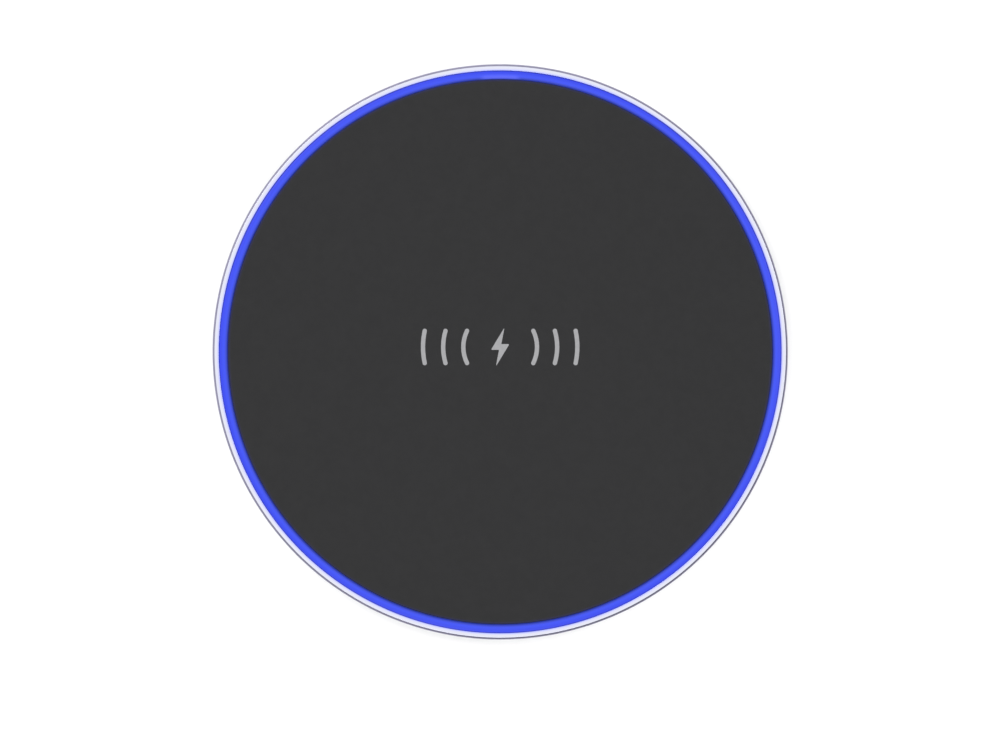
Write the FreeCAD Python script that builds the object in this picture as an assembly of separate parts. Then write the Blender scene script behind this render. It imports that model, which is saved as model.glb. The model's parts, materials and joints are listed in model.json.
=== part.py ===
import FreeCAD, Part
import math
import os

# Round wireless charging pad, 100 mm across, built as separate pieces.
#
# Millimetres, +Z up. The origin is the centre of the underside, on the surface that the pad stands
# on. +Y points at the socket in the side wall, and +X is to the right of someone who looks down on
# the pad with the socket away from them.

Vector = FreeCAD.Vector
UP = Vector(0, 0, 1)
CENTRE = Vector(0, 0, 0)

# ---------------------------------------------------------------- driving dimensions
rim_radius = 50.0
rim_wall = 1.15
pad_height = 8.2
panel_thickness = 1.4
socket_height = 4.6

touch_gap = 0.05
slip_gap = 0.1
glue_film = 0.1
spill = 1.0          # how far a cutting shape runs past what it cuts
sink = 0.05          # how far a shape reaches into what it is fused to
same_point = 1e-6    # two points nearer than this are one

# heights above the surface that the pad stands on
base_bottom = 0.6
groove_ceiling = 1.3
screw_seat = 2.0
floor_top = 2.2
board_bottom = 3.0
board_top = 4.0
flange_bottom = 5.1
flange_top = 5.9
step_top = 6.2
rim_bottom = 0.9
rim_top = pad_height - 0.15
panel_bottom = pad_height - panel_thickness
ledge_top = panel_bottom - glue_film
surround_bottom = 2.8
surround_top = ledge_top - touch_gap

# metal rim
rim_bore = rim_radius - rim_wall
flange_radius = 47.7
top_bevel_width = 0.38
top_bevel_height = 0.32
bottom_bevel = 0.45
inner_bevel = 0.1
inner_round = 0.05
broken_edge = 0.08
mouth_bevel = 0.22

# top panel and the mark let into it
panel_radius = 47.35
panel_edge = 0.16
panel_edge_round = 0.05
panel_under_bevel = 0.2
emblem_depth = 0.05
emblem_offset = 0.85
emblem_stroke = 0.75
emblem_radii = [6.4, 9.9, 13.4]
emblem_half_height = 2.8
bolt_tip = (0.75, 3.4, 0.05)          # x, y and corner radius
bolt_shoulder = (1.6, 0.5, 0.12)
bolt_notch = (0.2, 0.5)

# light ring, and the film that throws its light inwards
light_outer = rim_bore - touch_gap
light_inner = 47.45
light_crown = rim_top + 0.03
light_edge = rim_top - 0.12
crown_round = 1.6
light_edge_round = 0.12
light_rib_inner = 45.4
light_rib_outer = 46.6
light_rib_bottom = 3.6
light_facet = 0.8
film_inner = light_rib_outer + 0.15
film_thickness = 0.2

# plate under the panel
light_step = 46.5
plate_outer = light_rib_inner - touch_gap
plate_inner = 31.0
plate_post = 2.3
tape_margin = 0.5

# base
base_radius = rim_bore - slip_gap
base_wall_bore = 47.6
base_edge = 0.3
base_edge_round = 0.1
base_wall_foot = 0.5
post_radius = 2.5
rest_radius = 1.5
rest_circles = [(34.0, 8, 22.5), (14.0, 4, 45.0)]    # radius, count, first angle
label_recess_radius = 19.0
label_recess_depth = 0.15
gate_radius = 1.6
gate_depth = 0.4
pin_radius = 0.8
pin_post = 1.6
pin_tip = board_top + 0.3
pin_angles = [0, 180]

# foot ring
groove_inner = 39.75
groove_outer = 44.75
groove_lip = 0.25
foot_round = 0.3
grip_spacing = 1.15
grip_half_width = 0.25
grip_depth = 0.15
grip_round = 0.12

# screws
screw_circle = 42.25
screw_angles = [45, 135, 225, 315]
screw_head_radius = 1.65
screw_head_height = 0.62
screw_head_edge = 0.15
screw_head_room = 0.2
screw_crest = 0.85
screw_root = 0.66
screw_neck = 0.72
screw_pitch = 0.5
thread_crest_span = (0.4, 0.55)       # where a ridge's crest starts and ends, in pitches
screw_thread_from = 3.2
screw_thread_to = 5.7
screw_tip = 6.0
screw_tip_radius = 0.2
cross_length = 2.0
cross_width = 0.42
cross_depth = 0.38

# socket
recess_width = 9.4
recess_height = 4.0
recess_corner = 1.2
surround_half = 5.4
surround_room = 0.2
surround_tab = 1.0
surround_tab_bore = 47.1
socket_mouth = 49.0
socket_depth = 5.5
socket_back = socket_mouth - socket_depth
socket_width = 7.5
socket_thickness = 2.5
socket_sheet = 0.25
socket_bevel = 0.95
socket_rounds = (0.25, 0.35, 0.4)    # at the lower bevels' inner ends, outer ends, and the top
seam_width = 0.06
leg_x = 4.675
leg_y = 44.15
leg_depth = 0.9
leg_bottom = board_bottom - 0.1
leg_top = 4.75
tongue_half = 1.9
tongue_low = -0.05
tongue_high = 0.55
tongue_round = 0.12
tongue_setback = 0.6
plug_depth = 1.2
contact_count = 5
contact_pitch = 0.65
contact_width = 0.36
contact_thickness = 0.16
contact_drop = 0.13
contact_tail = 0.35
contact_foot = 0.9
contact_setback = 0.9

# board
board_radius = 45.0
board_screw_hole = 1.2
board_notch_half = 3.9
board_slot = (0.6, 1.2, 0.2)          # width, length, corner

# where parts stand on the board: rows of (radius, first angle, step, count), and (radius, angle)
resistor_rows = [(29.0, 24, 5, 6), (29.0, 190, 5, 6)]
lamp_resistor_radius = 41.2
lamp_resistor_lead = 7
small_capacitor_rows = [(31.5, 26, 5.5, 6), (28.5, 102, 7, 4), (38.5, 102, 7, 4)]
resonance_capacitor_rows = [(34.5, 146, 8.5, 4)]
input_capacitor_rows = [(37.0, 84, 7, 2)]
transistor_rows = [(33.5, 108, 12, 2)]
shunt_at = (31.0, 132)
controller_at = (36.5, 52)
inductor_at = (34.0, 72)
drivers_at = [(36.0, 12), (36.0, 205), (36.0, 330)]

# chip components: length, width, height, end cap
resistor = (1.6, 0.8, 0.45, 0.3)
small_capacitor = (1.6, 0.8, 0.8, 0.35)
resonance_capacitor = (4.5, 3.2, 1.6, 0.5)
input_capacitor = (3.2, 2.5, 1.6, 0.5)
shunt = (6.3, 3.1, 0.6, 0.7)

# packages: length, width, height, standoff
controller_body = (5.0, 5.0, 0.85, 0.05)
controller_pad = (0.4, 0.24, 0.2)
controller_pads_per_side = 8
controller_pad_pitch = 0.5
transistor_body = (4.9, 3.9, 1.35, 0.15)
transistor_leg_pitch = 1.27
driver_body = (2.9, 1.3, 0.95, 0.1)
driver_leg_offset = 0.95
leg_sheet = 0.15
leg_height = 0.75
leg_reach = 0.4
leg_toe = 0.5
transistor_legs_per_side = 4
inductor_body = (5.0, 5.0, 1.7, 0.05)
inductor_bore = 2.05
inductor_core = 1.85
inductor_floor = 0.6
dimple_radius = 0.38
dimple_depth = 0.08

# side-firing lamps
lamp_angles = [22.5 + 45 * k for k in range(8)]
lamp_front = 44.85
lamp_body = (1.0, 2.5, 1.0)
lamp_window = (0.3, 1.9, 0.6)
lamp_window_low = 0.2
lamp_end = (0.8, 0.25, 0.45)

# coil, the ferrite plate behind it and the wires in the plate's slot
wire_radius = 0.55
coil_turns = 10
coil_inner = 10.25
coil_pitch = 1.12
coil_exit_turn = 30.0
ferrite_radius = 25.0
ferrite_thickness = 1.0
slot_half = 1.5
board_tape_radius = 24.5
coil_tape_radius = 22.0
foam_radii = (coil_inner + 0.6, 21.4)
lead_y = 0.75
lead_bend = 3.0
lead_slope = 16.0
inner_level_run = 0.5
outer_level_run = 14.2
inner_lead_end = -30.5
outer_lead_run = 20.8
thermistor_wire = 0.16
thermistor_spacing = 0.24
thermistor_y = -0.75
thermistor_end = -27.0
bead_radius = 1.0
bead_stretch = (1.15, 0.95, 0.9)
bead_x = 0.9
bead_lift = 0.25
coil_solder = (1.5, 1.0)              # radius and height of a dome
leg_solder = (0.95, 0.45)
thermistor_solder = (0.8, 0.45)

ferrite_low = board_top + glue_film
ferrite_high = ferrite_low + ferrite_thickness
coil_height = ferrite_high + glue_film + wire_radius
lead_height = ferrite_low + wire_radius


# ---------------------------------------------------------------- helpers
def polar(radius, degrees, z=0.0):
    turn = math.radians(degrees)
    return Vector(radius * math.cos(turn), radius * math.sin(turn), z)


def place(radius, degrees, turn=0.0):
    """(x, y, turn) of something on the board, turned to lie along its radius and then by turn."""
    at = polar(radius, degrees)
    return at.x, at.y, degrees + turn


def in_rows(rows):
    """The place of every part in rows of (radius, first angle, step, count)."""
    return [place(radius, first + step * k) for radius, first, step, count in rows for k in range(count)]


def corner_arc(before, here, after, radius):
    """The start, middle and end of the arc that rounds the corner at here."""
    back = (before - here).normalize()
    on = (after - here).normalize()
    half = back.getAngle(on) / 2
    reach = radius / math.tan(half)
    middle = here + (back + on).normalize() * (radius / math.sin(half) - radius)
    return here + back * reach, middle, here + on * reach


def outline(corners, to_space):
    """A closed wire through corners (a, b) or (a, b, radius), each of the latter rounded."""
    points = [Vector(corner[0], corner[1], 0) for corner in corners]
    radii = [corner[2] if len(corner) > 2 else 0.0 for corner in corners]
    bends = []
    for k, here in enumerate(points):
        if radii[k]:
            bends.append(corner_arc(points[k - 1], here, points[(k + 1) % len(points)], radii[k]))
        else:
            bends.append((here, here, here))
    edges = []
    for k, (start, middle, end) in enumerate(bends):
        if radii[k]:
            edges.append(Part.Arc(*[to_space(p.x, p.y) for p in (start, middle, end)]).toShape())
        following = bends[(k + 1) % len(bends)][0]
        if (following - end).Length > same_point:
            edges.append(Part.makeLine(to_space(end.x, end.y), to_space(following.x, following.y)))
    return Part.Wire(edges)


def turned(corners):
    """A solid of revolution about Z from a closed outline of (radius, height) corners."""
    face = Part.Face(outline(corners, lambda r, z: Vector(r, 0, z)))
    return face.revolve(CENTRE, UP, 360)


def washer(inner, outer, low, high):
    return turned([(inner, low), (outer, low), (outer, high), (inner, high)])


def rectangle(half_width, low, high, corner=0.0):
    return [(-half_width, low, corner), (half_width, low, corner),
            (half_width, high, corner), (-half_width, high, corner)]


def along_x(corners, start, end):
    """A prism with a section in Y and Z, from x = start to x = end."""
    return Part.Face(outline(corners, lambda y, z: Vector(start, y, z))).extrude(Vector(end - start, 0, 0))


def along_y(corners, start, end):
    """A prism with a section in X and Z, from y = start to y = end."""
    return Part.Face(outline(corners, lambda x, z: Vector(x, start, z))).extrude(Vector(0, end - start, 0))


def along_z(corners, low, high):
    """A prism with a section in X and Y, from z = low to z = high."""
    return Part.Face(outline(corners, lambda x, y: Vector(x, y, low))).extrude(Vector(0, 0, high - low))


def cylinder(radius, low, high, at=CENTRE):
    return Part.makeCylinder(radius, high - low, Vector(at.x, at.y, low))


def block(size, x, y, low):
    """A box of size (x, y, z) centred over a point and standing at height low."""
    return Part.makeBox(*size, Vector(x - size[0] / 2, y - size[1] / 2, low))


def spun(shape, degrees):
    return shape.rotated(CENTRE, UP, degrees)


def on_circle(shape, radius, degrees):
    """shape, drawn about the Z axis with +X pointing outwards, moved out and turned to its angle."""
    return spun(shape.translated(Vector(radius, 0, 0)), degrees)


def on_board(shape, at):
    """shape, drawn on z = 0, put on the board at (x, y, turn)."""
    x, y, turn = at
    return spun(shape, turn).translated(Vector(x, y, board_top))


def group(shapes):
    return Part.makeCompound(list(shapes))


def by_socket(half_width, inner, low, high):
    """A block over the socket and everything outwards of y = inner."""
    reach = rim_radius + spill - inner
    return Part.makeBox(2 * half_width, reach, high - low, Vector(-half_width, inner, low))


# ---------------------------------------------------------------- metal rim
def socket_recess():
    half = recess_height / 2
    section = rectangle(recess_width / 2, socket_height - half, socket_height + half, recess_corner)
    return along_y(section, rim_bore - spill, rim_radius + spill)


def is_recess_mouth(edge):
    """Whether an edge of the rim lies where the recess meets the outer wall."""
    on_wall = all(abs(math.hypot(v.X, v.Y) - rim_radius) < touch_gap for v in edge.Vertexes)
    middle = edge.CenterOfMass
    within = abs(middle.x) < recess_width and abs(middle.z - socket_height) < recess_height / 2 + touch_gap
    return on_wall and within and middle.y > 0


def metal_rim():
    """Turned ring with bevelled edges, a flange that the casing clamps, and the socket's recess."""
    ring = turned([
        (rim_bore + inner_bevel, rim_bottom),
        (rim_radius - bottom_bevel, rim_bottom, broken_edge),
        (rim_radius, rim_bottom + bottom_bevel, broken_edge),
        (rim_radius, rim_top - top_bevel_height, broken_edge),
        (rim_radius - top_bevel_width, rim_top, broken_edge),
        (rim_bore + inner_bevel, rim_top, inner_round),
        (rim_bore, rim_top - inner_bevel, inner_round),
        (rim_bore, flange_top),
        (flange_radius, flange_top),
        (flange_radius, flange_bottom),
        (rim_bore, flange_bottom),
        (rim_bore, rim_bottom + inner_bevel),
    ])
    flange_gap = by_socket(surround_half + surround_room, flange_radius - spill, flange_bottom, flange_top)
    ring = ring.cut(flange_gap.common(cylinder(rim_bore, 0, pad_height)))
    ring = ring.cut(socket_recess())
    return ring.makeChamfer(mouth_bevel, [edge for edge in ring.Edges if is_recess_mouth(edge)])


# ---------------------------------------------------------------- top panel and its mark
def emblem_disc(radius, at=CENTRE):
    return cylinder(radius, pad_height - emblem_depth, pad_height, at)


def arc_stroke(radius, facing):
    """A curved stroke with round ends, centred on the mark and facing the given angle."""
    half = math.degrees(math.asin(emblem_half_height / radius))
    foot = Vector(0, 0, pad_height - emblem_depth)
    band = Part.makeCylinder(radius + emblem_stroke / 2, emblem_depth, foot, UP, 2 * half)
    band = spun(band, facing - half).cut(emblem_disc(radius - emblem_stroke / 2))
    for end in (facing - half, facing + half):
        band = band.fuse(emblem_disc(emblem_stroke / 2, polar(radius, end)))
    return band.removeSplitter()


def bolt():
    """A lightning bolt that looks the same when it is turned upside down."""
    half = [bolt_shoulder, bolt_notch, bolt_tip]
    corners = half + [(-x, -y, *radius) for x, y, *radius in half]
    return along_z(corners, pad_height - emblem_depth, pad_height)


def panel_emblem():
    """A bolt between three arcs on each side, let in flush with the panel."""
    strokes = [arc_stroke(radius, facing) for radius in emblem_radii for facing in (0, 180)]
    return group([bolt()] + strokes).translated(Vector(0, emblem_offset, 0))


def top_panel():
    """Flat disc that the phone lies on, with a softened edge and a shallow pocket for the mark."""
    disc = turned([
        (0, panel_bottom),
        (panel_radius - panel_under_bevel, panel_bottom),
        (panel_radius, panel_bottom + panel_under_bevel),
        (panel_radius, pad_height - panel_edge, panel_edge_round),
        (panel_radius - panel_edge, pad_height, panel_edge_round),
        (0, pad_height),
    ])
    return disc.cut(panel_emblem())


# ---------------------------------------------------------------- light ring
def light_ring():
    """Translucent ring: a crowned band that shows, a ledge under the panel, a rib that faces the lamps."""
    ring = turned([
        (light_rib_inner, light_rib_bottom),
        (light_rib_outer - light_facet, light_rib_bottom),
        (light_rib_outer, light_rib_bottom + light_facet),
        (light_rib_outer, flange_top),
        (light_outer, flange_top),
        (light_outer, light_edge, light_edge_round),
        ((light_inner + light_outer) / 2, light_crown, crown_round),
        (light_inner, light_edge, light_edge_round),
        (light_inner, ledge_top),
        (light_step, ledge_top),
        (light_step, step_top),
        (light_rib_inner, step_top),
    ])
    surround = by_socket(surround_half + surround_room, base_wall_bore - spill, 0, ledge_top)
    surround = surround.cut(cylinder(base_wall_bore - touch_gap, 0, pad_height))
    socket = by_socket(surround_half + surround_room, light_rib_inner - spill, 0, flange_top + touch_gap)
    return ring.cut(surround).cut(socket)


def light_reflector():
    """White film strip that stands behind the light ring's rib and stops beside the socket."""
    strip = washer(film_inner, film_inner + film_thickness, floor_top + touch_gap, flange_top - touch_gap)
    return strip.cut(by_socket(surround_half + surround_room, plate_inner, 0, pad_height))


# ---------------------------------------------------------------- plate under the panel
def inner_frame():
    """Ring-shaped plate that holds the light ring and the panel, with a post for each screw."""
    plate = turned([
        (plate_inner, flange_top),
        (plate_outer, flange_top),
        (plate_outer, step_top),
        (light_step - touch_gap, step_top),
        (light_step - touch_gap, ledge_top),
        (plate_inner, ledge_top),
    ])
    for at in [polar(screw_circle, angle) for angle in screw_angles]:
        plate = plate.fuse(cylinder(plate_post, board_top, step_top, at))
        plate = plate.cut(cylinder(screw_crest, board_top - spill, step_top, at))
    return plate.removeSplitter()


def panel_adhesive():
    """Double-sided tape between the plate and the panel."""
    return washer(plate_inner + tape_margin, panel_radius - tape_margin, ledge_top, panel_bottom)


# ---------------------------------------------------------------- base and foot
def tray():
    return turned([
        (0, base_bottom),
        (groove_inner - groove_lip, base_bottom),
        (groove_inner, base_bottom + groove_lip),
        (groove_inner, groove_ceiling),
        (groove_outer, groove_ceiling),
        (groove_outer, base_bottom + groove_lip),
        (groove_outer + groove_lip, base_bottom),
        (base_radius - base_edge, base_bottom, base_edge_round),
        (base_radius, base_bottom + base_edge, base_edge_round),
        (base_radius, flange_bottom),
        (base_wall_bore, flange_bottom),
        (base_wall_bore, floor_top, base_wall_foot),
        (0, floor_top),
    ])


def floor_posts():
    """Screw posts, board rests and locating pins on the tray's floor."""
    low = floor_top - sink
    posts = [cylinder(post_radius, low, board_bottom, polar(screw_circle, angle)) for angle in screw_angles]
    for radius, count, first in rest_circles:
        turns = [first + 360 / count * k for k in range(count)]
        posts += [cylinder(rest_radius, low, board_bottom, polar(radius, turn)) for turn in turns]
    for at in [polar(screw_circle, angle) for angle in pin_angles]:
        posts.append(cylinder(pin_post, low, board_bottom, at).fuse(cylinder(pin_radius, low, pin_tip, at)))
    return posts


def base_shell():
    """Moulded tray: floor, posts, the foot ring's groove, and a side wall with a notch at the socket."""
    shell = tray().fuse(floor_posts())
    cuts = [
        cylinder(label_recess_radius, base_bottom - spill, base_bottom + label_recess_depth),
        cylinder(gate_radius, base_bottom - spill, base_bottom + gate_depth),
        by_socket(surround_half, base_wall_bore - spill, surround_bottom, flange_bottom + spill),
    ]
    for at in [polar(screw_circle, angle) for angle in screw_angles]:
        cuts.append(cylinder(screw_head_radius + screw_head_room, groove_ceiling - spill, screw_seat, at))
        cuts.append(cylinder(screw_crest + slip_gap, screw_seat - spill, board_bottom + spill, at))
    return shell.cut(cuts).removeSplitter()


def socket_surround():
    """Insert that fills the base's notch round the socket, with tabs behind the wall on both sides."""
    wall = washer(base_wall_bore, base_radius, surround_bottom, surround_top)
    wall = wall.common(along_y(rectangle(surround_half, 0, pad_height), base_wall_bore - spill, rim_radius))
    tabs = washer(surround_tab_bore, base_wall_bore, surround_bottom, flange_bottom - touch_gap)
    tab_half = surround_half + surround_tab
    tabs = tabs.common(along_y(rectangle(tab_half, 0, pad_height), surround_tab_bore - spill, rim_radius))
    opening = along_y(socket_outline(slip_gap), surround_tab_bore - spill, rim_radius)
    return wall.fuse(tabs).cut(opening).removeSplitter()


def foot_ring():
    """Soft ring glued into the base's groove over the screws, with three grip grooves underneath."""
    inner = groove_inner + touch_gap
    outer = groove_outer - touch_gap
    ring = turned([
        (inner, 0, foot_round),
        (outer, 0, foot_round),
        (outer, groove_ceiling),
        (inner, groove_ceiling),
    ])
    middle = (inner + outer) / 2
    for at in (middle - grip_spacing, middle, middle + grip_spacing):
        ring = ring.cut(turned([
            (at - grip_half_width, -spill),
            (at + grip_half_width, -spill),
            (at + grip_half_width, grip_depth, grip_round),
            (at - grip_half_width, grip_depth, grip_round),
        ]))
    return ring


# ---------------------------------------------------------------- screws
def thread_outline():
    """(radius, height) corners of the ridges, from the head end up to the tip."""
    corners = []
    ridges = round((screw_thread_to - screw_thread_from) / screw_pitch)
    for k in range(ridges):
        z = screw_thread_from + k * screw_pitch
        corners.append((screw_root, z))
        corners += [(screw_crest - touch_gap, z + part * screw_pitch) for part in thread_crest_span]
    return corners + [(screw_root, screw_thread_to)]


def case_screw():
    """Self-tapping screw about Z: flat cross-slot head below, ridged shank above."""
    head_low = screw_seat - screw_head_height
    head = [(0, head_low), (screw_head_radius, head_low, screw_head_edge), (screw_head_radius, screw_seat)]
    tip = [(screw_tip_radius, screw_tip), (0, screw_tip)]
    screw = turned(head + [(screw_neck, screw_seat)] + thread_outline() + tip)
    slots = [block(size, 0, 0, head_low - spill) for size in (
        (cross_length, cross_width, cross_depth + spill),
        (cross_width, cross_length, cross_depth + spill),
    )]
    return screw.cut(slots)


def case_screws():
    screw = case_screw()
    return group(on_circle(screw, screw_circle, angle) for angle in screw_angles)


# ---------------------------------------------------------------- socket
def socket_outline(grow=0.0):
    """The socket's metal shell in section: flat top, bevelled lower corners."""
    half = socket_width / 2 + grow
    low = socket_height - socket_thickness / 2 - grow
    high = socket_height + socket_thickness / 2 + grow
    foot, side, top = socket_rounds
    return [
        (-half + socket_bevel, low, foot),
        (half - socket_bevel, low, foot),
        (half, low + socket_bevel, side),
        (half, high, top),
        (-half, high, top),
        (-half, low + socket_bevel, side),
    ]


def socket_shell():
    """Folded sheet-metal sleeve with a seam below, and a leg on each side that stands in the board."""
    bore = along_y(socket_outline(-socket_sheet), socket_back - spill, socket_mouth + spill)
    sleeve = along_y(socket_outline(), socket_back, socket_mouth).cut(bore)
    seam = rectangle(seam_width / 2, socket_height - socket_thickness, socket_height)
    sleeve = sleeve.cut(along_y(seam, socket_back - spill, socket_mouth + spill))
    reach = leg_x + socket_sheet / 2 - socket_width / 2 + sink
    for side in (-1, 1):
        wing = (reach, leg_depth, socket_sheet)
        leg = (socket_sheet, leg_depth, leg_top - leg_bottom)
        sleeve = sleeve.fuse([
            block(wing, side * (leg_x + socket_sheet / 2 - reach / 2), leg_y, leg_top - socket_sheet),
            block(leg, side * leg_x, leg_y, leg_bottom),
        ])
    return sleeve.removeSplitter()


def contact(k):
    """A bar on the tongue's lower face that passes through the plug and steps down to a foot on the board."""
    x = (k - (contact_count - 1) / 2) * contact_pitch
    low = socket_height - contact_drop
    tail = socket_back - contact_tail
    bar_length = socket_mouth - contact_setback - tail
    bar = (contact_width, bar_length, contact_thickness)
    drop = (contact_width, contact_thickness, low + contact_thickness - board_top)
    foot = (contact_width, contact_foot, contact_thickness)
    return block(bar, x, tail + bar_length / 2, low).fuse([
        block(drop, x, tail + contact_thickness / 2, board_top),
        block(foot, x, tail + contact_thickness - contact_foot / 2, board_top),
    ]).removeSplitter()


def socket_contacts():
    return group(contact(k) for k in range(contact_count))


def socket_insulator():
    """Moulding with a plug that closes the sleeve's back and a tongue that carries the contacts."""
    plug = along_y(socket_outline(-socket_sheet - touch_gap), socket_back, socket_back + plug_depth)
    section = rectangle(tongue_half, socket_height + tongue_low, socket_height + tongue_high, tongue_round)
    tongue = along_y(section, socket_back, socket_mouth - tongue_setback)
    return plug.fuse(tongue).cut(socket_contacts()).removeSplitter()


# ---------------------------------------------------------------- board
def main_board():
    """Round circuit board with holes for the screws and pins, and a notch and slots for the socket."""
    low = board_bottom - spill
    high = board_top + spill
    width, length, corner = board_slot
    slot = rectangle(width / 2, leg_y - length / 2, leg_y + length / 2, corner)
    cuts = [cylinder(board_screw_hole, low, high, polar(screw_circle, angle)) for angle in screw_angles]
    cuts += [cylinder(pin_radius + slip_gap, low, high, polar(screw_circle, angle)) for angle in pin_angles]
    cuts.append(by_socket(board_notch_half, socket_back - slip_gap, low, high))
    cuts += [along_z(slot, low, high).translated(Vector(side * leg_x, 0, 0)) for side in (-1, 1)]
    return cylinder(board_radius, board_bottom, board_top).cut(cuts)


def board_tape():
    """Tape that holds the ferrite plate to the board."""
    return cylinder(board_tape_radius, board_top, ferrite_low)


# ---------------------------------------------------------------- chip components
lamp_resistor_places = [place(lamp_resistor_radius, angle + lamp_resistor_lead, 90) for angle in lamp_angles]
resistor_places = in_rows(resistor_rows) + lamp_resistor_places
small_capacitor_places = in_rows(small_capacitor_rows)
resonance_capacitor_places = in_rows(resonance_capacitor_rows)
input_capacitor_places = in_rows(input_capacitor_rows)
shunt_places = [place(*shunt_at, 90)]


def chips(places, size):
    """The bodies of chip components, without their end caps."""
    length, width, height, cap = size
    body = block((length - 2 * cap, width, height), 0, 0, 0)
    return group(on_board(body, at) for at in places)


def end_caps(places, size):
    length, width, height, cap = size
    caps = [block((cap, width, height), side * (length - cap) / 2, 0, 0) for side in (-1, 1)]
    return [on_board(shape, at) for at in places for shape in caps]


def chip_resistors():
    return chips(resistor_places, resistor)


def chip_capacitors():
    return chips(small_capacitor_places, small_capacitor)


def resonance_capacitors():
    return chips(resonance_capacitor_places, resonance_capacitor)


def input_capacitors():
    return chips(input_capacitor_places, input_capacitor)


def sense_resistor():
    return chips(shunt_places, shunt)


def component_terminals():
    """Tinned end caps of every chip component."""
    return group(
        end_caps(resistor_places, resistor)
        + end_caps(small_capacitor_places, small_capacitor)
        + end_caps(resonance_capacitor_places, resonance_capacitor)
        + end_caps(input_capacitor_places, input_capacitor)
        + end_caps(shunt_places, shunt)
    )


# ---------------------------------------------------------------- packages
controller_place = place(*controller_at)
transistor_places = in_rows(transistor_rows)
driver_places = [place(*at) for at in drivers_at]
inductor_place = place(*inductor_at)


def package(size):
    """A moulded package over the origin, with a dimple that marks its first leg."""
    length, width, height, standoff = size
    inset = 2 * dimple_radius
    dimple = cylinder(dimple_radius, standoff + height - dimple_depth, standoff + height + spill,
                      Vector(inset - length / 2, width / 2 - inset, 0))
    return block((length, width, height), 0, 0, standoff).cut(dimple)


def packages(places, size):
    body = package(size)
    return group(on_board(body, at) for at in places)


def controller_chip():
    return packages([controller_place], controller_body)


def power_transistors():
    """Two packages that switch the coil."""
    return packages(transistor_places, transistor_body)


def lamp_drivers():
    return packages(driver_places, driver_body)


def controller_pads():
    """Solder pads along the four sides under the controller."""
    body = package(controller_body)
    middle = (controller_pads_per_side - 1) / 2
    pads = []
    for k in range(controller_pads_per_side):
        pad = block(controller_pad, controller_body[0] / 2, (k - middle) * controller_pad_pitch, 0)
        pads += [spun(pad, side) for side in (0, 90, 180, 270)]
    return group(on_board(pad.cut(body), controller_place) for pad in pads)


def gull_leg(width, start):
    """A bent leg that leaves a package's side at y = start and stands on the board."""
    drop = start + leg_reach
    knee = drop + leg_sheet
    toe = knee + leg_toe
    section = [
        (start, leg_height - leg_sheet),
        (drop, leg_height - leg_sheet),
        (drop, 0),
        (toe, 0),
        (toe, leg_sheet),
        (knee, leg_sheet),
        (knee, leg_height),
        (start, leg_height),
    ]
    return along_x(section, -width / 2, width / 2)


def legs_of(places, leg, near, far):
    """Copies of a leg at each offset of near on one side, and of far on the other, of every package."""
    made = [leg.translated(Vector(x, 0, 0)) for x in near]
    made += [spun(leg.translated(Vector(x, 0, 0)), 180) for x in far]
    return [on_board(shape, at) for at in places for shape in made]


def transistor_legs():
    """Bent legs of the power transistors and of the lamp drivers."""
    middle = (transistor_legs_per_side - 1) / 2
    row = [(k - middle) * transistor_leg_pitch for k in range(transistor_legs_per_side)]
    power_leg = gull_leg(contact_width, transistor_body[1] / 2)
    driver_leg = gull_leg(contact_width, driver_body[1] / 2)
    return group(
        legs_of(transistor_places, power_leg, row, row)
        + legs_of(driver_places, driver_leg, [0.0], [-driver_leg_offset, driver_leg_offset])
    )


def power_inductor():
    """Drum core in a square ring."""
    length, width, height, standoff = inductor_body
    core = cylinder(inductor_core, inductor_floor, height)
    bore = cylinder(inductor_bore, inductor_floor, height + spill)
    ring = block((length, width, height), 0, 0, standoff).cut(bore)
    return on_board(ring.fuse(core).removeSplitter(), inductor_place)


# ---------------------------------------------------------------- lamps
def by_lamps(shapes):
    """Shapes drawn on z = 0 with the lamp's front at x = 0, put behind the light ring at every lamp."""
    raised = [shape.translated(Vector(0, 0, board_top)) for shape in shapes]
    return group(on_circle(shape, lamp_front, angle) for angle in lamp_angles for shape in raised)


def lamp_window_shape():
    return block(lamp_window, -lamp_window[0] / 2, 0, lamp_window_low)


def lamp_bodies():
    return by_lamps([block(lamp_body, -lamp_body[0] / 2, 0, 0).cut(lamp_window_shape())])


def lamp_lenses():
    return by_lamps([lamp_window_shape()])


def lamp_terminals():
    aside = (lamp_body[1] + lamp_end[1]) / 2
    return by_lamps([block(lamp_end, -lamp_body[0] / 2, side * aside, 0) for side in (-1, 1)])


# ---------------------------------------------------------------- coil and what lies with it
def wire_slot(low, high):
    reach = ferrite_radius + spill
    return Part.makeBox(reach, 2 * slot_half, high - low, Vector(-reach, -slot_half, low))


def ferrite_plate():
    """Disc that shields the board from the coil, with a slot for the wires from the middle."""
    return cylinder(ferrite_radius, ferrite_low, ferrite_high).cut(wire_slot(ferrite_low, ferrite_high))


def coil_tape():
    high = ferrite_high + glue_film
    ring = washer(coil_inner - wire_radius, coil_tape_radius, ferrite_high, high)
    return ring.cut(wire_slot(ferrite_high, high))


def arc(centre, radius, start, end, z):
    points = [centre + polar(radius, angle, z) for angle in (start, (start + end) / 2, end)]
    return Part.Arc(*points).toShape()


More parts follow.
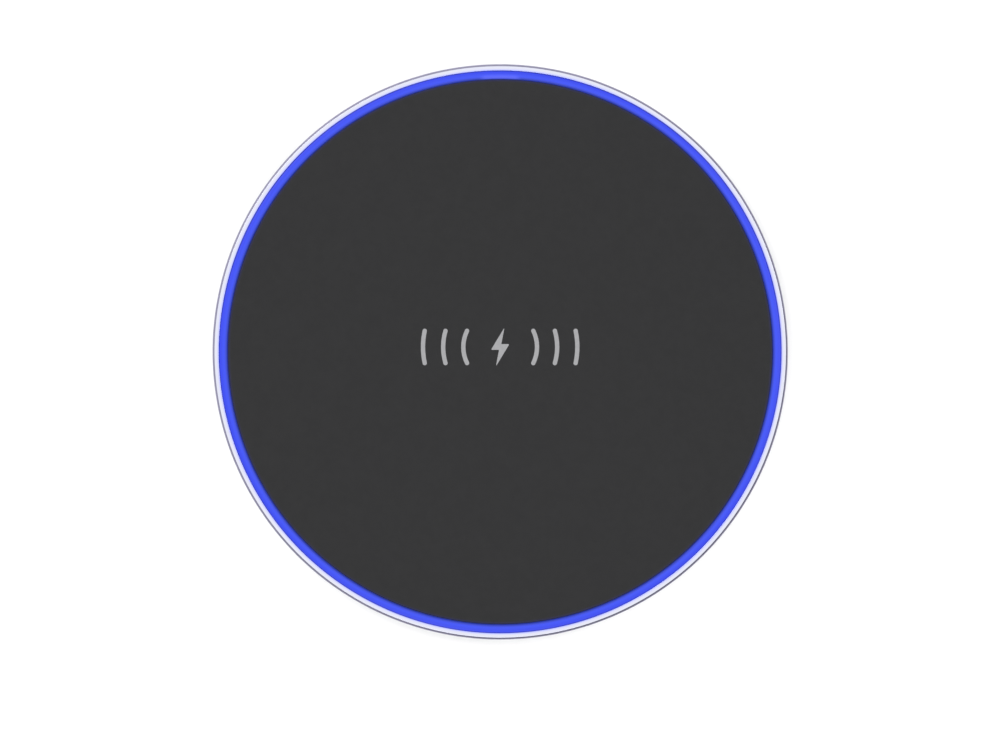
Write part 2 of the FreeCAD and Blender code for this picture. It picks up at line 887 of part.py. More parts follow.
def lowered_lead(start, heading, level_run, total):
    """A lead that runs level, comes down to the board in two bends with a slope between, and runs on."""
    fall = coil_height - lead_height
    slope = math.radians(lead_slope)
    bend_run = lead_bend * math.sin(slope)
    bend_drop = lead_bend * (1 - math.cos(slope))
    half_run = lead_bend * math.sin(slope / 2)
    half_drop = lead_bend * (1 - math.cos(slope / 2))
    slope_run = (fall - 2 * bend_drop) / math.tan(slope)
    slope_start = level_run + bend_run
    slope_end = slope_start + slope_run
    landed = slope_end + bend_run
    stations = [
        (0, 0),
        (level_run, 0),
        (level_run + half_run, half_drop),
        (slope_start, bend_drop),
        (slope_end, fall - bend_drop),
        (landed - half_run, fall - half_drop),
        (landed, fall),
        (total, fall),
    ]
    points = [start + heading * run - UP * drop for run, drop in stations]
    return [
        Part.makeLine(*points[0:2]),
        Part.Arc(*points[1:4]).toShape(),
        Part.makeLine(*points[3:5]),
        Part.Arc(*points[4:7]).toShape(),
        Part.makeLine(*points[6:8]),
    ]


def spiral():
    """Half turns about two centres half a pitch apart, from +Y at the inside out to the last radius."""
    edges = []
    for k in range(2 * coil_turns):
        centre = Vector(0, (k % 2) * coil_pitch / 2, 0)
        start = 90 + 180 * (k % 2)
        edges.append(arc(centre, coil_inner + k * coil_pitch / 2, start, start + 180, coil_height))
    return edges


coil_outer = coil_inner + coil_turns * coil_pitch
exit_angle = 90 + coil_exit_turn
exit_point = polar(coil_outer, exit_angle, coil_height)
exit_heading = polar(1, exit_angle + 90)
outer_lead_end = exit_point + exit_heading * outer_lead_run


def transmitter_coil():
    """One wire: the inner lead, a U-turn out to the first turn, the spiral, and the outer lead."""
    turn_radius = (coil_inner - lead_y) / 2
    inner_start = Vector(0, lead_y, coil_height)
    inner_lead = lowered_lead(inner_start, Vector(-1, 0, 0), inner_level_run, -inner_lead_end)
    u_turn = arc(Vector(0, lead_y + turn_radius, 0), turn_radius, 90, -90, coil_height)
    last_arc = arc(CENTRE, coil_outer, 90, exit_angle, coil_height)
    outer_lead = lowered_lead(exit_point, exit_heading, outer_level_run, outer_lead_run)
    path = Part.__sortEdges__(inner_lead + [u_turn] + spiral() + [last_arc] + outer_lead)
    section = Part.makeCircle(wire_radius, Vector(inner_lead_end, lead_y, lead_height), Vector(1, 0, 0))
    return Part.Wire(path).makePipeShell([Part.Wire(section)], True, False)


def coil_foam():
    """Foam washer between the winding and the panel."""
    return washer(*foam_radii, coil_height + wire_radius, panel_bottom)


def thermistor_leads():
    """Two thin wires side by side in the ferrite plate's slot."""
    wires = []
    for y in (thermistor_y - thermistor_spacing, thermistor_y + thermistor_spacing):
        end = Vector(thermistor_end, y, ferrite_low + thermistor_wire)
        wires.append(Part.makeCylinder(thermistor_wire, bead_x - thermistor_end, end, Vector(1, 0, 0)))
    return group(wires)


def thermistor_bead():
    """Resin drop on the ends of its two wires, in the middle of the coil."""
    stretch = FreeCAD.Matrix()
    stretch.scale(*bead_stretch)
    drop = Part.makeSphere(bead_radius).transformGeometry(stretch)
    drop = drop.translated(Vector(bead_x, thermistor_y, ferrite_high + bead_lift))
    drop = drop.cut([ferrite_plate(), thermistor_leads()])
    return max(drop.Solids, key=lambda solid: solid.Volume)


# ---------------------------------------------------------------- solder
def solder_dome(x, y, size):
    """A low dome on the board: a cap of a sphere."""
    radius, height = size
    sphere_radius = (radius ** 2 + height ** 2) / (2 * height)
    ball = Part.makeSphere(sphere_radius, Vector(x, y, board_top + height - sphere_radius))
    return ball.common(cylinder(2 * radius, board_top, board_top + 2 * height, Vector(x, y, 0)))


def solder_joints():
    """Solder over the coil's two ends, the thermistor's wires and the socket's legs."""
    coil = transmitter_coil()
    ends = [(inner_lead_end, lead_y), (outer_lead_end.x, outer_lead_end.y)]
    domes = [solder_dome(x, y, coil_solder).cut(coil) for x, y in ends]
    around_socket = [socket_shell(), main_board()]
    domes += [solder_dome(side * leg_x, leg_y, leg_solder).cut(around_socket) for side in (-1, 1)]
    domes.append(solder_dome(thermistor_end, thermistor_y, thermistor_solder).cut([thermistor_leads(), coil]))
    return group(domes)


# ---------------------------------------------------------------- every sub-part, one file each
SUB_PARTS = [
    top_panel, panel_emblem, light_ring, light_reflector, metal_rim, base_shell, socket_surround, foot_ring,
    case_screws, inner_frame, panel_adhesive, main_board, socket_shell, socket_insulator, socket_contacts,
    lamp_bodies, lamp_lenses, lamp_terminals, controller_chip, controller_pads, power_transistors,
    lamp_drivers, transistor_legs, power_inductor, resonance_capacitors, input_capacitors, chip_capacitors,
    chip_resistors, sense_resistor, component_terminals, board_tape, ferrite_plate, coil_tape,
    transmitter_coil, coil_foam, thermistor_bead, thermistor_leads, solder_joints,
]

os.makedirs("parts", exist_ok=True)
for sub_part in SUB_PARTS:
    shape = sub_part()
    shape.exportStep(f"parts/{sub_part.__name__}.step")
    print(sub_part.__name__, len(shape.Solids), "solids", round(shape.Volume, 2), "mm3 valid", shape.isValid())
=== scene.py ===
"""Looks of the round charging pad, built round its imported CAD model.

Metres, +Z up. The pad lies flat on the floor, its socket points along +Y, and the camera looks
straight down on it.
"""

import json
import math

import bmesh
import bpy
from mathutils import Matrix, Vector


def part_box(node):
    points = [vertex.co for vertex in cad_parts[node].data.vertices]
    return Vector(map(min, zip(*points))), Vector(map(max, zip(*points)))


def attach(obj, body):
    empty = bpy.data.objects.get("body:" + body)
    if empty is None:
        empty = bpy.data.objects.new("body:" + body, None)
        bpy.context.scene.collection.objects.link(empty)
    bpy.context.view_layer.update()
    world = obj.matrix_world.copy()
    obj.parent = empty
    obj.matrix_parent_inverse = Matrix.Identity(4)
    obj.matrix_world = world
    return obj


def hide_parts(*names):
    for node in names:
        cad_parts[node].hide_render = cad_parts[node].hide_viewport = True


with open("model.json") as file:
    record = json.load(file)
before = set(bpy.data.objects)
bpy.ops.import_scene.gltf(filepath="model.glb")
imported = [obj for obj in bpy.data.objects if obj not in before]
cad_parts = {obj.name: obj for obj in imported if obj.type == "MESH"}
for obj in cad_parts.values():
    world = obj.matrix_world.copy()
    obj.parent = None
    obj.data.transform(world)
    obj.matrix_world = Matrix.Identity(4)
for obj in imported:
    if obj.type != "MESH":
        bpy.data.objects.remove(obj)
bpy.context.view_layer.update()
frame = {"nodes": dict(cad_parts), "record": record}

MM = 0.001

# ---------------------------------------------------------------- sizes, from the frame
rim_low, rim_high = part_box("metal_rim")
rim_radius = rim_high.x
pad_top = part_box("top_panel")[1].z
panel_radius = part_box("top_panel")[1].x
band_inner = panel_radius + 0.1 * MM
band_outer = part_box("light_ring")[1].x
rim_bore = band_outer + 0.02 * MM
bevel_start = rim_radius - 0.38 * MM
flange_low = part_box("base_shell")[1].z
socket_height = next(m for m in frame["record"]["mounts"] if m["name"] == "socket")["pos_m"][2]

# ---------------------------------------------------------------- shape of the rim, beyond its box
SEGMENTS = 384
FLANGE_THICKNESS = 0.8 * MM
FLANGE_DEPTH = 1.15 * MM
EDGE_ROUND = 0.07 * MM
TOP_BEVEL_HEIGHT = 0.32 * MM
BOTTOM_BEVEL = 0.45 * MM
INNER_BEVEL = 0.1 * MM
INNER_ROUND = 0.04 * MM
RECESS_HALF_WIDTH = 4.7 * MM
RECESS_HALF_HEIGHT = 2.0 * MM
RECESS_CORNER = 1.2 * MM
RECESS_ARC_STEPS = 12
MOUTH_BEVEL = 0.22 * MM
CUT_PAST_BORE = 2 * MM
CUT_PAST_WALL = 1 * MM
SHARP_DEGREES = 28
ON_AXIS = 1e-9

# ---------------------------------------------------------------- colours, linear
PANEL_GREY = (0.0101, 0.0101, 0.0107)
# painted blue light from the ring, at the panel's edge
PANEL_EDGE_PAINTED_BLUE_LIGHT = (0.0095, 0.0105, 0.046)
INK_GREY = (0.207, 0.207, 0.213)
RING_BLUE = (0.0150, 0.0268, 0.322)
RING_DEEP = (0.008, 0.014, 0.280)
# painted shade at the ring's inner edge
RING_PAINTED_SHADE = (0.003, 0.004, 0.05)
# painted light on the ring, thrown back by the socket's sleeve
RING_PAINTED_SLEEVE_LIGHT = (0.06, 0.07, 0.40)
GLOW = (0.018, 0.036, 0.34)
# the rim's own silver metal, with the ring's blue light painted in
TOP_METAL_AND_PAINTED_BLUE = (0.552, 0.560, 0.645)
# painted blue light from the ring, on the rim's inner edge
INNER_METAL_PAINTED_BLUE_LIGHT = (0.37, 0.39, 0.81)
# painted dark reflection on the outer bevel, with a painted blue tint
BEVEL_METAL_PAINTED_DARK_REFLECTION = (0.26, 0.25, 0.35)
WALL_METAL = (0.40, 0.40, 0.41)
SOLDER_MASK = (0.008, 0.10, 0.030)
BOARD_TRACE = (0.02, 0.20, 0.06)
COPPER_LIGHT = (0.72, 0.32, 0.15)
COPPER_DARK = (0.35, 0.11, 0.04)
LENS_BLUE = (0.10, 0.14, 0.80)
FLOOR_PAINT = (0.86, 0.86, 0.86)
WALL_LIGHT = (0.64, 0.64, 0.645)
WALL_DARK = (0.12, 0.12, 0.125)

# ---------------------------------------------------------------- where a finish changes, start and end
# the panel's painted blue light fades in over this span
PANEL_SPILL = (panel_radius - 0.6 * MM, panel_radius)
# the ring's painted shade fades out over this span
RING_LIT = (band_inner - 0.05 * MM, band_inner + 0.5 * MM)
RING_DEEPER = (band_outer - 0.8 * MM, band_outer - 0.2 * MM)
# where the ring's painted light from the socket's sleeve lies, and how strong it is
SLEEVE_SIDE = (2.4 * MM, 3.9 * MM)
SLEEVE_BEHIND = (0, 10 * MM)
SLEEVE_BAND = (band_inner + 0.3 * MM, band_inner + 0.9 * MM)
SLEEVE_STRENGTH = 0.6
# the rim's painted blue light fades out over this span
RIM_PAINTED_BLUE_SPAN = (rim_bore + 0.05 * MM, rim_bore + 0.45 * MM)
RIM_BEVEL = (bevel_start - 0.02 * MM, bevel_start + 0.02 * MM)
RIM_WALL = (rim_radius - 0.03 * MM, rim_radius - 0.01 * MM)
NOISE_MIDDLE = (0.3, 0.7)

# ---------------------------------------------------------------- grain of the drawn-out finishes
TURNED_ACROSS, TURNED_AROUND = 9000, 6       # changes in a metre, and in a radian
STRAND_ACROSS, STRAND_ALONG = 9000.0, 160.0  # radians of twist in a metre, and in a radian of the coil
ROLLED_ALONG, ROLLED_ACROSS = 700.0, 9000.0  # changes in a metre

# ---------------------------------------------------------------- studio and camera
STUDIO_FLAT = 1.1
STUDIO_BEND = 0.7
STUDIO_TOP = 0.9
STUDIO_SEGMENTS = 128
BEND_STEPS = 24
FLOOR_RINGS = 6
PAINT_CLIMB = (-0.05, 0.2)
PAINT_TURN = (-2.5, 2.5)
LAMP_SIZE = 1.4
LAMPS = [
    ("left_back", (-1.1, 1.0, 1.7), 16),
    ("right", (1.4, 0.3, 1.7), 12),
    ("front", (-0.2, -1.45, 1.7), 12),
]
ROOM_LIGHT = 1.45
VIEW_WIDTH = 173.63 * MM
VIEW_CENTRE = (-0.03 * MM, -4.02 * MM)
LENS, SENSOR = 100.0, 36.0
CLIP_START, CLIP_END = 0.01, 20


# ---------------------------------------------------------------- mesh helpers
def rounded(corners, steps=5):
    """Points of a closed outline whose corners (a, b, radius) are rounded by arcs."""
    points = []
    for k, (a, b, radius) in enumerate(corners):
        here = Vector((a, b))
        if not radius:
            points.append(here)
            continue
        back = (Vector(corners[k - 1][:2]) - here).normalized()
        on = (Vector(corners[(k + 1) % len(corners)][:2]) - here).normalized()
        half = back.angle(on) / 2
        reach = radius / math.tan(half)
        centre = here + (back + on).normalized() * radius / math.sin(half)
        start = (here + back * reach - centre).normalized()
        end = (here + on * reach - centre).normalized()
        points += [centre + start.slerp(end, step / steps) * radius for step in range(steps + 1)]
    return points


def object_from(mesh, name):
    """Turns a bmesh into an object in the scene."""
    data = bpy.data.meshes.new(name)
    mesh.to_mesh(data)
    mesh.free()
    made = bpy.data.objects.new(name, data)
    bpy.context.scene.collection.objects.link(made)
    return made


def solid_from(mesh, name):
    bmesh.ops.recalc_face_normals(mesh, faces=mesh.faces)
    return object_from(mesh, name)


def turned_rows(mesh, outline, segments):
    """The vertices of an outline of (radius, height) at every turn, and the shared ones on the axis."""
    on_axis = {k: mesh.verts.new((0, 0, z)) for k, (r, z) in enumerate(outline) if r < ON_AXIS}
    rows = []
    for s in range(segments):
        turn = 2 * math.pi * s / segments
        across, along = math.cos(turn), math.sin(turn)
        rows.append([
            on_axis.get(k) or mesh.verts.new((r * across, r * along, z))
            for k, (r, z) in enumerate(outline)
        ])
    return rows


def skin(mesh, rows, spans):
    """Faces between each row and the next, round to the first, over the given spans of columns."""
    for this, following in zip(rows, rows[1:] + rows[:1]):
        for a, b in spans:
            corners = [this[a], following[a], following[b], this[b]]
            mesh.faces.new(list(dict.fromkeys(corners)))


def revolved(name, outline, segments=SEGMENTS):
    """A ring turned about Z from a closed outline of (radius, height) points."""
    mesh = bmesh.new()
    count = len(outline)
    skin(mesh, turned_rows(mesh, outline, segments), [(k, (k + 1) % count) for k in range(count)])
    return solid_from(mesh, name)


def lofted(name, loops):
    """A closed solid through loops of equally many points, with a cap on each end."""
    mesh = bmesh.new()
    rows = [[mesh.verts.new(p) for p in loop] for loop in loops]
    count = len(rows[0])
    for low, high in zip(rows, rows[1:]):
        for k in range(count):
            mesh.faces.new((low[k], low[(k + 1) % count], high[(k + 1) % count], high[k]))
    mesh.faces.new(rows[0][::-1])
    mesh.faces.new(rows[-1])
    bmesh.ops.triangulate(mesh, faces=mesh.faces)
    return solid_from(mesh, name)


def smooth(piece):
    """Smooth shading, kept sharp at edges that turn by more than the angle."""
    mesh = bmesh.new()
    mesh.from_mesh(piece.data)
    for face in mesh.faces:
        face.smooth = True
    for edge in mesh.edges:
        edge.smooth = edge.calc_face_angle(0) < math.radians(SHARP_DEGREES)
    mesh.to_mesh(piece.data)
    mesh.free()


def cut_by(piece, cutter):
    """Takes the cutter's shape out of the piece and removes the cutter."""
    modifier = piece.modifiers.new("cut", "BOOLEAN")
    modifier.operation = "DIFFERENCE"
    modifier.solver = "EXACT"
    modifier.object = cutter
    graph = bpy.context.evaluated_depsgraph_get()
    cut = bpy.data.meshes.new_from_object(piece.evaluated_get(graph))
    piece.modifiers.clear()
    piece.data = cut
    bpy.data.objects.remove(cutter)


# ---------------------------------------------------------------- the piece that replaces a CAD node
def recess_loop(radius, grow):
    """The socket recess's outline on a cylinder about Z, widened by grow."""
    half_width = RECESS_HALF_WIDTH + grow
    half_height = RECESS_HALF_HEIGHT + grow
    corner = RECESS_CORNER + grow
    corners = [
        (-half_width, -half_height, corner),
        (half_width, -half_height, corner),
        (half_width, half_height, corner),
        (-half_width, half_height, corner),
    ]
    points = rounded(corners, RECESS_ARC_STEPS)
    return [(x, math.sqrt(radius ** 2 - x ** 2), socket_height + up) for x, up in points]


def recess():
    """The shape that opens the wall for the socket, wider at its mouth."""
    inside = rim_bore - CUT_PAST_BORE
    outside = rim_radius + CUT_PAST_WALL
    return lofted("recess", [
        recess_loop(inside, 0),
        recess_loop(rim_radius - MOUTH_BEVEL, 0),
        recess_loop(rim_radius, MOUTH_BEVEL),
        recess_loop(outside, MOUTH_BEVEL + outside - rim_radius),
    ])


def make_rim():
    """Turned ring with small rounds on every edge and a bevelled recess for the socket."""
    low, high = rim_low.z, rim_high.z
    flange_high = flange_low + FLANGE_THICKNESS
    ring = revolved("rim_ring", rounded([
        (rim_bore + INNER_BEVEL, low, INNER_ROUND),
        (rim_radius - BOTTOM_BEVEL, low, EDGE_ROUND),
        (rim_radius, low + BOTTOM_BEVEL, EDGE_ROUND),
        (rim_radius, high - TOP_BEVEL_HEIGHT, EDGE_ROUND),
        (bevel_start, high, EDGE_ROUND),
        (rim_bore + INNER_BEVEL, high, INNER_ROUND),
        (rim_bore, high - INNER_BEVEL, INNER_ROUND),
        (rim_bore, flange_high, 0),
        (rim_bore - FLANGE_DEPTH, flange_high, 0),
        (rim_bore - FLANGE_DEPTH, flange_low, 0),
        (rim_bore, flange_low, 0),
        (rim_bore, low + INNER_BEVEL, INNER_ROUND),
    ]))
    cut_by(ring, recess())
    smooth(ring)
    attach(ring, "root")
    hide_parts("metal_rim")
    return ring


# ---------------------------------------------------------------- material helpers
class Finish:
    """A material: one Principled shader and the nodes that feed it, in the row's own coordinates."""

    def __init__(self, name, colour, roughness, metallic=0.0, **constants):
        self.material = bpy.data.materials.new(name)
        self.material.use_nodes = True
        self.material.diffuse_color = (*colour, 1)
        self.tree = self.material.node_tree
        self.shader = self.tree.nodes["Principled BSDF"]
        self.set("Base Color", (*colour, 1))
        self.set("Roughness", roughness)
        self.set("Metallic", metallic)
        for socket, value in constants.items():
            self.set(socket.replace("_", " "), value)
        self.where = self.add("ShaderNodeTexCoord").outputs["Object"]

    def set(self, socket, value):
        self.feed(self.shader.inputs[socket], value)

    def feed(self, socket, value):
        """Gives a socket a value, or links another node's output to it."""
        if isinstance(value, bpy.types.NodeSocket):
            self.tree.links.new(value, socket)
        else:
            socket.default_value = value

    def add(self, kind, settings=None, **inputs):
        """A node with its settings and inputs."""
        node = self.tree.nodes.new(kind)
        for key, value in (settings or {}).items():
            setattr(node, key, value)
        for key, value in inputs.items():
            self.feed(node.inputs[key.replace("_", " ")], value)
        return node

    def math(self, operation, a, b=0.0):
        node = self.add("ShaderNodeMath", {"operation": operation})
        self.feed(node.inputs[0], a)
        self.feed(node.inputs[1], b)
        return node.outputs[0]

    def noise(self, scale, detail=3.0, rough=0.5, where=None):
        """Noise of about 0 to 1, with scale cells in a metre."""
        spot = where or self.where
        node = self.add("ShaderNodeTexNoise", Vector=spot, Scale=scale, Detail=detail, Roughness=rough)
        return node.outputs["Fac"]

    def ramp(self, value, span=(0.0, 1.0), low=0.0, high=1.0):
        """Smoothly from low to high while value goes through the span."""
        node = self.add("ShaderNodeMapRange", {"interpolation_type": "SMOOTHSTEP"})
        inputs = {"Value": value, "From Min": span[0], "From Max": span[1], "To Min": low, "To Max": high}
        for key, number in inputs.items():
            self.feed(node.inputs[key], number)
        return node.outputs["Result"]

    def spread(self, noise, low=0.0, high=1.0):
        """The middle of a noise's range, stretched to go from low to high."""
        return self.ramp(noise, NOISE_MIDDLE, low, high)

    def blend(self, factor, first, second):
        node = self.add("ShaderNodeMix", {"data_type": "RGBA"})
        self.feed(node.inputs["Factor"], factor)
        for socket, value in ((node.inputs[6], first), (node.inputs[7], second)):
            self.feed(socket, (*value, 1) if isinstance(value, tuple) else value)
        return node.outputs[2]

    def place(self):
        """x, y and z of the shaded point."""
        return self.add("ShaderNodeSeparateXYZ", Vector=self.where).outputs

    def radius(self):
        """The shaded point's distance from the Z axis."""
        x, y, _ = self.place()
        square = self.math("ADD", self.math("MULTIPLY", x, x), self.math("MULTIPLY", y, y))
        return self.math("SQRT", square)

    def angle(self):
        """The shaded point's angle round the Z axis, in radians."""
        x, y, _ = self.place()
        return self.math("ARCTAN2", y, x)

    def turned_grain(self, across, around):
        """Noise drawn out round the axis: across lines per metre, around changes per radian."""
        point = self.add(
            "ShaderNodeCombineXYZ",
            X=self.math("MULTIPLY", self.radius(), across),
            Y=self.math("MULTIPLY", self.place()[2], across),
            Z=self.math("MULTIPLY", self.angle(), around),
        )
        return self.noise(1.0, rough=0.6, where=point.outputs[0])

    def bump(self, height, depth, strength=0.5):
        """Relief from a height of 0 to 1 that stands for depth in metres."""
        node = self.add("ShaderNodeBump", Strength=strength, Distance=depth, Height=height)
        self.set("Normal", node.outputs["Normal"])

    def mottled(self, colour, amount, scale):
        """A colour, a little lighter and darker from place to place."""
        darker = tuple(c * (1 - amount) for c in colour)
        lighter = tuple(min(1.0, c * (1 + amount)) for c in colour)
        return self.blend(self.spread(self.noise(scale, detail=4.0)), darker, lighter)

    def mottle(self, colour, amount, scale):
        self.set("Base Color", self.mottled(colour, amount, scale))


def wear(piece, finish):
    piece.data.materials.clear()
    piece.data.materials.append(finish.material)


# ---------------------------------------------------------------- outside finishes
def soft_touch():
    """Matte dark coating with a very fine grain, with the ring's blue light painted into its colour at its
    edge.
    """
    finish = Finish("soft_touch", PANEL_GREY, 0.62, Specular_IOR_Level=0.18)
    coat = finish.mottled(PANEL_GREY, amount=0.03, scale=260)
    # painted blue light: the coat turns blue towards the panel's edge, as if lit by the ring
    edge = finish.ramp(finish.radius(), PANEL_SPILL)
    finish.set("Base Color", finish.blend(edge, coat, PANEL_EDGE_PAINTED_BLUE_LIGHT))
    finish.set("Roughness", finish.spread(finish.noise(900), 0.6, 0.66))
    finish.bump(finish.noise(7000, detail=2.0, rough=0.6), depth=0.006 * MM, strength=0.4)
    return finish


def pale_print():
    """Flat grey ink."""
    finish = Finish("pale_print", INK_GREY, 0.5, Specular_IOR_Level=0.3)
    finish.mottle(INK_GREY, amount=0.04, scale=2500)
    finish.bump(finish.noise(9000, detail=2.0), depth=0.004 * MM, strength=0.4)
    return finish


def painted_sleeve_light(finish):
    """How near a point of the ring is to the socket's metal sleeve; this marks where light thrown back by
    the sleeve is painted in as a paler patch.
    """
    x, y, _ = finish.place()
    across = finish.ramp(finish.math("ABSOLUTE", x), SLEEVE_SIDE, low=SLEEVE_STRENGTH, high=0.0)
    at_socket = finish.math("MULTIPLY", across, finish.ramp(y, SLEEVE_BEHIND))
    inner_half = finish.ramp(finish.radius(), SLEEVE_BAND, low=1.0, high=0.0)
    return finish.math("MULTIPLY", at_socket, inner_half)


def glowing_ring():
    """Satin translucent moulding lit from inside: painted shade at its inner edge, and deeper blue at its
    outer.
    """
    finish = Finish("glowing_ring", RING_BLUE, 0.35, Specular_IOR_Level=0.2)
    finish.set("Emission Color", (*GLOW, 1))
    finish.set("Emission Strength", 1.0)
    radius = finish.radius()
    # painted shade: darker towards the ring's inner edge
    lit = finish.blend(finish.ramp(radius, RING_LIT), RING_PAINTED_SHADE, RING_BLUE)
    blue = finish.blend(finish.ramp(radius, RING_DEEPER), lit, RING_DEEP)
    # painted light: the ring paler above the socket's sleeve
    finish.set("Base Color", finish.blend(painted_sleeve_light(finish), blue, RING_PAINTED_SLEEVE_LIGHT))
    finish.bump(finish.noise(1800), depth=0.01 * MM, strength=0.3)
    return finish


def anodised_rim():
    """Finely turned, anodised wall; an outer bevel whose darker reflection is partly painted into its
    colour; and a bright top with the ring's blue light painted into its colour, most of all at its inner
    edge.
    """
    finish = Finish("anodised_rim", WALL_METAL, 0.3, 1.0)
    radius = finish.radius()
    wall = finish.ramp(radius, RIM_WALL)
    # painted dark reflection on the outer bevel, against the top's metal with its painted blue tint
    top = finish.blend(finish.ramp(radius, RIM_BEVEL), TOP_METAL_AND_PAINTED_BLUE, BEVEL_METAL_PAINTED_DARK_REFLECTION)
    # painted blue light: the top bluer towards the rim's inner edge
    top = finish.blend(finish.ramp(radius, RIM_PAINTED_BLUE_SPAN, low=1.0, high=0.0), top, INNER_METAL_PAINTED_BLUE_LIGHT)
    finish.set("Base Color", finish.blend(wall, top, WALL_METAL))
    lines = finish.math("MULTIPLY", finish.spread(finish.turned_grain(TURNED_ACROSS, TURNED_AROUND)), wall)
    finish.set("Roughness", finish.ramp(lines, low=0.15, high=0.36))
    finish.bump(lines, depth=0.003 * MM)
    return finish


def moulded_black(name, colour, roughness=0.5):
    """Spark-textured dark plastic."""
    finish = Finish(name, colour, roughness, Specular_IOR_Level=0.4)
    finish.mottle(colour, amount=0.08, scale=400)
    finish.set("Roughness", finish.spread(finish.noise(1500), roughness - 0.08, roughness + 0.1))
    finish.bump(finish.noise(4500, rough=0.6), depth=0.02 * MM, strength=0.6)
    return finish


def silicone():
    """Soft black rubber with a faint bloom."""
    colour = (0.018, 0.018, 0.019)
    sheen = {"Sheen_Weight": 0.12, "Sheen_Roughness": 0.5}
    finish = Finish("silicone", colour, 0.72, Specular_IOR_Level=0.35, **sheen)
    finish.mottle(colour, amount=0.15, scale=700)
    finish.bump(finish.noise(3500), depth=0.01 * MM)
    return finish


def plated(name, colour, roughness):
    """Plated sheet metal with a rolled grain along the row's Y axis."""
    finish = Finish(name, colour, roughness, 1.0)
    cells = (ROLLED_ACROSS, ROLLED_ALONG, ROLLED_ACROSS)
    stretched = finish.add("ShaderNodeMapping", Vector=finish.where, Scale=cells)
    grain = finish.noise(1.0, rough=0.6, where=stretched.outputs[0])
    finish.set("Base Color", finish.blend(grain, tuple(c * 0.85 for c in colour), colour))
    finish.set("Roughness", finish.spread(grain, roughness - 0.06, roughness + 0.08))
    finish.bump(grain, depth=0.002 * MM, strength=0.4)
    return finish


# ---------------------------------------------------------------- inside finishes
def speckled(name, colour, roughness, scale, amount=0.12, metallic=0.0, depth=0.01 * MM):
    """A plain material with grain of its own size: ceramic, film, foam, resin, solder and the like."""
    finish = Finish(name, colour, roughness, metallic)
    finish.mottle(colour, amount, scale)
    finish.set("Roughness", finish.spread(finish.noise(scale), roughness - 0.08, roughness + 0.08))
    finish.bump(finish.noise(2 * scale), depth)
    return finish


def solder_mask():
    """Green lacquer on glass fibre, with fine traces showing under it."""
    finish = Finish("solder_mask", SOLDER_MASK, 0.28, Coat_Weight=0.5, Coat_Roughness=0.1)
    settings = {"feature": "F1", "distance": "CHEBYCHEV"}
    cells = finish.add("ShaderNodeTexVoronoi", settings, Vector=finish.where, Scale=420.0)
    traces = finish.ramp(cells.outputs["Distance"], span=(0.28, 0.32))
    finish.set("Base Color", finish.blend(traces, SOLDER_MASK, BOARD_TRACE))
    finish.bump(traces, depth=0.03 * MM, strength=0.4)
    return finish


def enamelled_strand():
    """Copper strand: fine wires twisted round the run of the winding."""
    finish = Finish("enamelled_strand", COPPER_LIGHT, 0.32, 1.0)
    across = finish.math("MULTIPLY", finish.radius(), STRAND_ACROSS)
    along = finish.math("MULTIPLY", finish.angle(), STRAND_ALONG)
    wires = finish.ramp(finish.math("SINE", finish.math("ADD", across, along)), span=(-1.0, 1.0))
    finish.set("Base Color", finish.blend(wires, COPPER_DARK, COPPER_LIGHT))
    finish.bump(wires, depth=0.03 * MM, strength=0.6)
    return finish


def lit_lens():
    """Clear resin over the lamp's chip, lit from below."""
    finish = Finish("lit_lens", LENS_BLUE, 0.15, Coat_Weight=0.6)
    finish.set("Emission Color", (*LENS_BLUE, 1))
    finish.set("Emission Strength", 1.2)
    finish.mottle(LENS_BLUE, amount=0.1, scale=3000)
    return finish


def shared_finishes():
    """Finishes of more than one node, and those nodes."""
    ceramic_nodes = ("resonance_capacitors", "input_capacitors", "chip_capacitors")
    tinned_nodes = ("lamp_terminals", "controller_pads", "transistor_legs", "component_terminals")
    tin = speckled("tinned", (0.62, 0.62, 0.63), 0.28, 3000, amount=0.08, metallic=1.0, depth=0.004 * MM)
    ferrite = speckled("ferrite", (0.035, 0.034, 0.036), 0.6, 1200, amount=0.2, depth=0.02 * MM)
    epoxy = speckled("epoxy", (0.018, 0.018, 0.019), 0.55, 3000, amount=0.2)
    glaze = speckled("black_ceramic", (0.02, 0.02, 0.021), 0.4, 2500, amount=0.2)
    return [
        (moulded_black("black_moulding", (0.016, 0.016, 0.017)), ("base_shell", "socket_surround")),
        (tin, tinned_nodes),
        (epoxy, ("controller_chip", "power_transistors", "lamp_drivers")),
        (speckled("brown_ceramic", (0.34, 0.20, 0.10), 0.45, 2500), ceramic_nodes),
        (glaze, ("chip_resistors", "sense_resistor")),
        (ferrite, ("power_inductor", "ferrite_plate")),
        (speckled("tape", (0.72, 0.66, 0.50), 0.6, 900), ("board_tape", "coil_tape")),
    ]


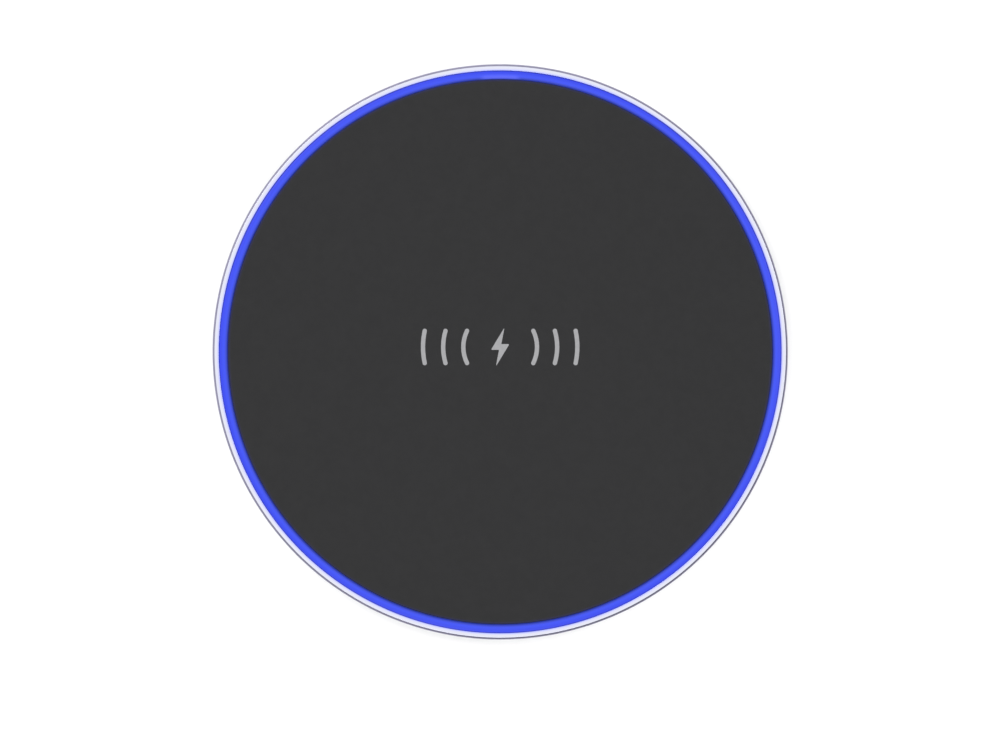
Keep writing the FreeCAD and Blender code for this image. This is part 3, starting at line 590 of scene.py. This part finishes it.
def own_finishes():
    """Finishes of one node each."""
    return {
        "top_panel": soft_touch(),
        "panel_emblem": pale_print(),
        "light_ring": glowing_ring(),
        "foot_ring": silicone(),
        "socket_shell": plated("nickel", (0.66, 0.64, 0.60), 0.22),
        "socket_contacts": plated("gold", (0.95, 0.62, 0.22), 0.2),
        "socket_insulator": moulded_black("insulator", (0.010, 0.010, 0.011), 0.42),
        "inner_frame": speckled("white_moulding", (0.78, 0.78, 0.76), 0.5, 700, amount=0.03),
        "light_reflector": speckled("white_film", (0.88, 0.88, 0.87), 0.35, 900, amount=0.02),
        "panel_adhesive": speckled("black_tape", (0.02, 0.02, 0.02), 0.7, 900),
        "case_screws": plated("black_zinc", (0.10, 0.10, 0.11), 0.35),
        "main_board": solder_mask(),
        "lamp_bodies": speckled("white_package", (0.80, 0.80, 0.77), 0.45, 2500, amount=0.03),
        "lamp_lenses": lit_lens(),
        "transmitter_coil": enamelled_strand(),
        "coil_foam": speckled("foam", (0.03, 0.03, 0.03), 0.9, 2500, amount=0.4, depth=0.08 * MM),
        "thermistor_bead": speckled("resin", (0.015, 0.015, 0.016), 0.18, 900),
        "thermistor_leads": speckled("lead_coat", (0.45, 0.02, 0.015), 0.4, 1500),
        "solder_joints": speckled("solder", (0.66, 0.66, 0.68), 0.2, 1500, amount=0.08, metallic=1.0),
    }


def dress():
    """Puts a finish on every CAD node that stays."""
    for finish, nodes in shared_finishes():
        for node in nodes:
            wear(frame["nodes"][node], finish)
    for node, finish in own_finishes().items():
        wear(frame["nodes"][node], finish)


# ---------------------------------------------------------------- studio
def studio_paint():
    """Pale on the floor, and greyer up the wall, most of all on the right."""
    paint = Finish("studio_paint", FLOOR_PAINT, 0.9, Specular_IOR_Level=0.1)
    x, y, z = paint.place()
    to_right = paint.ramp(paint.math("SUBTRACT", x, y), PAINT_TURN)
    wall = paint.blend(to_right, WALL_LIGHT, WALL_DARK)
    paint.set("Base Color", paint.blend(paint.ramp(z, PAINT_CLIMB), FLOOR_PAINT, wall))
    return paint


def make_studio():
    """Pale floor that curves up into a wall all round, open above."""
    turns = [math.pi / 2 * k / BEND_STEPS for k in range(BEND_STEPS + 1)]
    floor = [(STUDIO_FLAT * (k / FLOOR_RINGS) ** 2, 0.0) for k in range(FLOOR_RINGS)]
    curve = [(STUDIO_FLAT + STUDIO_BEND * math.sin(a), STUDIO_BEND * (1 - math.cos(a))) for a in turns]
    outline = floor + curve + [(STUDIO_FLAT + STUDIO_BEND, STUDIO_TOP)]
    mesh = bmesh.new()
    skin(mesh, turned_rows(mesh, outline, STUDIO_SEGMENTS), [(k, k + 1) for k in range(len(outline) - 1)])
    for face in mesh.faces:
        face.smooth = True
    studio = object_from(mesh, "studio_floor")
    wear(studio, studio_paint())


def area_light(name, place, watts):
    """A broad round lamp that faces the pad."""
    data = bpy.data.lights.new(name, "AREA")
    data.shape = "DISK"
    data.size = LAMP_SIZE
    data.energy = watts
    lamp = bpy.data.objects.new(name, data)
    lamp.location = place
    lamp.rotation_euler = Vector(place).to_track_quat("Z", "Y").to_euler()
    bpy.context.scene.collection.objects.link(lamp)


def make_lights():
    """Three broad lamps in an evenly white room."""
    for lamp in LAMPS:
        area_light(*lamp)
    world = bpy.data.worlds.new("soft_room")
    world.use_nodes = True
    background = world.node_tree.nodes["Background"].inputs
    background["Color"].default_value = (1, 1, 1, 1)
    background["Strength"].default_value = ROOM_LIGHT
    bpy.context.scene.world = world


def make_camera():
    """Long lens straight above the pad, moved so that the pad sits a little high in the picture."""
    data = bpy.data.cameras.new("camera")
    data.lens = LENS
    data.sensor_width = SENSOR
    data.clip_start = CLIP_START
    data.clip_end = CLIP_END
    camera = bpy.data.objects.new("camera", data)
    camera.location = (*VIEW_CENTRE, pad_top + VIEW_WIDTH * LENS / SENSOR)
    bpy.context.scene.collection.objects.link(camera)
    bpy.context.scene.camera = camera


make_camera()
wear(make_rim(), anodised_rim())
dress()
make_studio()
make_lights()
bpy.context.scene.view_settings.view_transform = "Standard"
